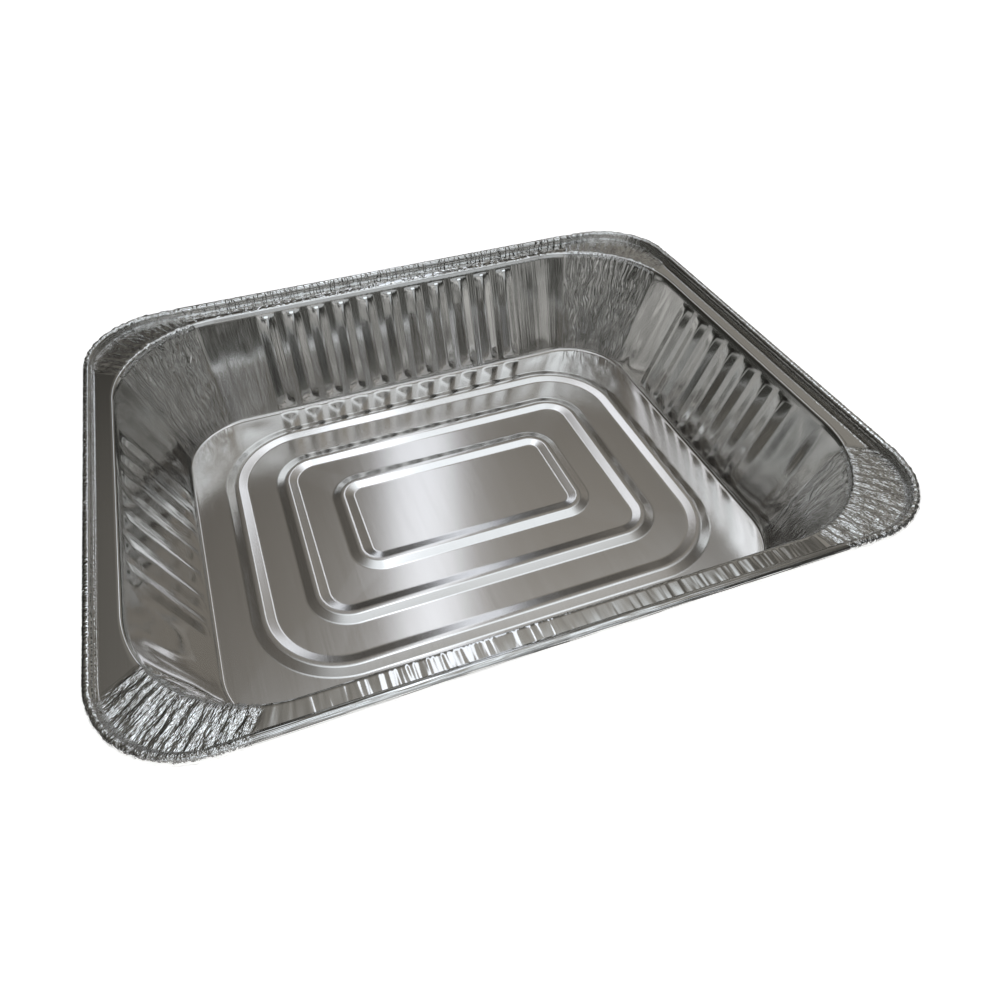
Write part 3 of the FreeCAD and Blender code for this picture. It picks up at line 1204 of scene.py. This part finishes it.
        flange = self.held("flange")
        roll = self.held("roll")
        gathered = self.held("gathered")
        long_side = self.held("long_side")
        far_side = y.ramp(*finish.side_span) * long_side
        near_side = long_side - far_side
        end_side = long_side * -1.0 + 1.0
        on_flange = layer(finish.near_ripples) * near_side + layer(finish.far_dashes, True) * far_side
        on_roll = layer(finish.far_serration, True) * far_side + layer(finish.near_rolling) * near_side
        on_roll = on_roll + layer(finish.end_hatching) * end_side
        marks = (on_flange * flange + on_roll * roll) * (gathered * -1.0 + 1.0)
        return marks + layer(finish.rim_flecks) * (flange + roll + self.held("lip")) * gathered


@dataclass
class FoilTray:
    """The whole tray, pressed from one sheet."""

    sizes: TraySizes = TraySizes()
    ribs: RibSizes = RibSizes(11, 13.75, 1.9, 1.5, 4.2)
    end_ribs: RibSizes = RibSizes(7, 13.9, 1.1, 1.5, 4.6)
    rings: RingSizes = RingSizes()
    gathers: GatherSizes = GatherSizes()
    finish: FoilFinish = FoilFinish()

    def build(self) -> bpy.types.Object:
        """Make the tray and let it stand for the solid."""
        material = FoilMaterial(self.finish).build()
        sheet = FlatSheet(self.sizes, self.ribs, self.end_ribs, self.rings, self.gathers)
        press = FoilPress(self.sizes, self.ribs, self.end_ribs, self.rings, self.gathers, sheet.wall_run)
        tray = press.run(sheet.mesh(), material)
        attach(tray, "root")
        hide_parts("foil_tray")
        return tray


@dataclass
class Stage:
    """The pale floor that the tray stands on.

    It glows, but less round the tray: a painted shade, where only the outside of the tray mirrors it.
    """

    finish: StageFinish = StageFinish()
    half_size: float = 6.0
    # Middle, core and soft edge of the painted shade round the tray, in metres.
    shade_middle: tuple[float, float] = (0.021, 0.062)
    shade_core: tuple[float, float] = (0.125, 0.088)
    shade_edge: tuple[float, float] = (0.0296, 0.074)

    def build(self) -> bpy.types.Object:
        """Make the floor."""
        material = bpy.data.materials.new("pale_floor")
        material.use_nodes = True
        tree = material.node_tree
        shader = tree.nodes["Principled BSDF"]
        shader.inputs["Roughness"].default_value = self.finish.roughness
        space = tree.nodes.new("ShaderNodeTexCoord")
        cloud = noise(tree, space.outputs["Object"], 2.0)
        dimmed = tuple(part * self.finish.clouding for part in self.finish.colour)
        tint = blended(tree, cloud, self.finish.colour, dimmed)
        feed(tree, tint, shader.inputs["Base Color"])
        feed(tree, tint, shader.inputs["Emission Color"])
        x, y, _ = parts(tree, space.outputs["Object"])
        # Painted shade: the floor glows less round the tray.
        shade = self.shade(x, y)
        glow = shade * (self.finish.painted_shade_glow - self.finish.glow) + self.finish.glow
        feed(tree, glow, shader.inputs["Emission Strength"])
        side = self.half_size
        mesh = bpy.data.meshes.new("pale_floor")
        corners = [(-side, -side, 0), (side, -side, 0), (side, side, 0), (-side, side, 0)]
        mesh.from_pydata(corners, [], [(0, 1, 2, 3)])
        mesh.materials.append(material)
        floor = bpy.data.objects.new("pale_floor", mesh)
        bpy.context.scene.collection.objects.link(floor)
        return floor

    def shade(self, x: Wire, y: Wire) -> Wire:
        """Mask of the painted shade round the tray, where the floor glows less, for the tray's outside to
        mirror.

        Args:
            x: Place along the tray.
            y: Place across the tray.

        Returns:
            1 in the painted shade and 0 outside it.
        """
        across = (abs(x - self.shade_middle[0]) - self.shade_core[0]).highest(0.0)
        along = (abs(y - self.shade_middle[1]) - self.shade_core[1]).highest(0.0)
        beyond = (across * across + along * along).through("SQRT")
        return beyond.ramp(*self.shade_edge, 1.0, 0.0)


@dataclass
class Camera:
    """The camera at the photograph's viewing angle."""

    place: tuple[float, float, float] = (-0.08255, -0.24722, 0.26403)
    turn_degrees: tuple[float, float, float] = (44.1596, 0.9405, -19.7633)
    lens: float = 26.493
    sensor_width: float = 36.0
    clip_start: float = 0.01
    shift: tuple[float, float] = (0.0366, 0.0008)

    def build(self) -> bpy.types.Object:
        """Make the camera and use it."""
        data = bpy.data.cameras.new("camera")
        data.lens = self.lens
        data.sensor_width = self.sensor_width
        data.shift_x, data.shift_y = self.shift
        data.clip_start = self.clip_start
        camera = bpy.data.objects.new("camera", data)
        camera.location = self.place
        camera.rotation_euler = [math.radians(angle) for angle in self.turn_degrees]
        bpy.context.scene.collection.objects.link(camera)
        bpy.context.scene.camera = camera
        return camera


@dataclass(frozen=True)
class Softbox:
    """One flat soft light, aimed at a point."""

    name: str
    place: tuple[float, float, float]
    aim: tuple[float, float, float]
    size: tuple[float, float]
    watts: float
    colour: tuple[float, float, float] = (1.0, 1.0, 1.0)

    def build(self) -> bpy.types.Object:
        """Make the light."""
        data = bpy.data.lights.new(self.name, "AREA")
        data.shape = "RECTANGLE"
        data.size, data.size_y = self.size
        data.energy = self.watts
        data.color = self.colour
        light = bpy.data.objects.new(self.name, data)
        back = Vector(self.place) - Vector(self.aim)
        turn = back.to_track_quat("Z", "Y").to_matrix().to_4x4()
        light.matrix_world = Matrix.Translation(self.place) @ turn
        light.visible_camera = False
        bpy.context.scene.collection.objects.link(light)
        return light


@dataclass(frozen=True)
class SkyPatch:
    """A soft-edged patch of the surroundings.

    Attributes:
        starts: For each axis along which it fades in, the axis and the span of the fade.
        ends: For each axis along which it fades out, the axis and the span of the fade.
    """

    starts: tuple[tuple[str, float, float], ...]
    ends: tuple[tuple[str, float, float], ...] = ()

    def mask(self, places: dict[str, Wire]) -> Wire:
        """Work out where the patch is.

        Args:
            places: The place along each axis.

        Returns:
            1 in the patch and 0 outside it.
        """
        fades = [places[axis].ramp(low, high) for axis, low, high in self.starts]
        fades += [places[axis].ramp(low, high, 1.0, 0.0) for axis, low, high in self.ends]
        mask = fades[0]
        for fade in fades[1:]:
            mask = mask * fade
        return mask


@dataclass
class Studio:
    """The studio's lights and surroundings.

    Its back, front, sides and window lie where the foil mirrors them into the bands and shades of the photo.
    """

    pale_wall: tuple[float, float, float] = (0.3, 0.3, 0.29)
    dark_wall: tuple[float, float, float] = (0.04, 0.04, 0.036)
    dark_front: tuple[float, float, float] = (0.035, 0.035, 0.033)
    pale_front: tuple[float, float, float] = (0.62, 0.62, 0.61)
    front_panel: tuple[float, float, float] = (0.46, 0.48, 0.49)
    ceiling: tuple[float, float, float] = (1.0, 0.95, 0.86)
    skylight: tuple[float, float, float] = (1.12, 1.21, 1.29)
    low_glow: tuple[float, ...] = (0.46, 0.66, 0.035, 0.17)
    high_glow: tuple[float, ...] = (0.66, 0.9, 0.0, 0.1)
    left_dimming: tuple[float, ...] = (-0.3, 0.25, 0.5, 1.25)
    right_dimming: tuple[float, ...] = (0.42, 0.62, 1.0, 0.35)
    side_glow: float = 0.2
    side_edge: tuple[float, float] = (-0.08, 0.03)
    side_start: tuple[float, float] = (0.3, 0.42)
    panels: Grain = Grain(4.0, 4.0, seed=1.7)
    panel_span: tuple[float, float] = (0.43, 0.57)
    patches: Grain = Grain(5.0, 5.0, detail=1.5, rough=0.6)
    patch_rise: float = 3.0
    patch_span: tuple[float, float] = (0.42, 0.58)
    front_end: tuple[float, float] = (0.3, 0.5)
    front_patch: SkyPatch = SkyPatch((), (("y", -0.35, -0.05),))
    panel_patch: SkyPatch = SkyPatch(
        (("x", -0.1, 0.05), ("z", 0.3, 0.38)),
        (("x", 0.34, 0.42), ("y", -0.7, -0.6)),
    )
    sky_patch: SkyPatch = SkyPatch((("z", 0.78, 0.86),), (("y", -0.3, -0.12),))
    upper_patch: SkyPatch = SkyPatch((("z", 0.12, 0.4),))
    window_patch: SkyPatch = SkyPatch(
        (("x", -0.25, -0.08), ("y", 0.08, 0.26), ("z", 0.5, 0.7)),
        (("x", 0.4, 0.52), ("y", 0.38, 0.5)),
    )
    lights: tuple[Softbox, ...] = (
        Softbox("strip_behind", (0.49, 2.0, 2.36), (0.0, 0.0, 0.0), (0.33, 3.2), 3.7, (0.84, 0.9, 1.0)),
    )

    def build(self) -> None:
        """Make the surroundings and the lights."""
        world = bpy.data.worlds.new("studio")
        bpy.context.scene.world = world
        world.use_nodes = True
        tree = world.node_tree
        space = tree.nodes.new("ShaderNodeTexCoord")
        x, y, z = parts(tree, space.outputs["Generated"])
        places = {"x": x, "y": y, "z": z}
        panels = self.panels.read(x, y).ramp(*self.panel_span)
        walls = blended(tree, panels, self.dark_wall, self.pale_wall)
        level = z.ramp(*self.low_glow, False) + z.ramp(*self.high_glow, False)
        level = level * x.ramp(*self.left_dimming, False) * x.ramp(*self.right_dimming)
        level = level + (x - z).ramp(*self.side_edge) * y.ramp(*self.side_start) * self.side_glow
        behind = blended(tree, level, (0.0, 0.0, 0.0), self.ceiling)
        patches = self.patches.read(x, y, z * self.patch_rise).ramp(*self.patch_span)
        patches = patches * x.ramp(*self.front_end, 1.0, 0.0)
        front = blended(tree, patches, self.dark_front, self.pale_front)
        front = blended(tree, self.panel_patch.mask(places), front, self.front_panel)
        front = blended(tree, self.sky_patch.mask(places), front, self.skylight)
        ceiling = blended(tree, self.front_patch.mask(places), behind, front)
        upper = blended(tree, self.upper_patch.mask(places), walls, ceiling)
        sky = blended(tree, self.window_patch.mask(places), upper, self.skylight)
        feed(tree, sky, tree.nodes["Background"].inputs["Color"])
        for light in self.lights:
            light.build()


def main() -> None:
    """Build the scene in order."""
    logging.basicConfig(level=logging.INFO, format="%(name)s: %(message)s")
    scene = bpy.context.scene
    scene.view_settings.view_transform = "Standard"
    Camera().build()
    log.info("camera placed")
    tray = FoilTray().build()
    tray.data.calc_loop_triangles()
    log.info("foil tray pressed, %d triangles", len(tray.data.loop_triangles))
    Stage().build()
    Studio().build()
    log.info("stage and lights placed")


if __name__ == "__main__":
    main()
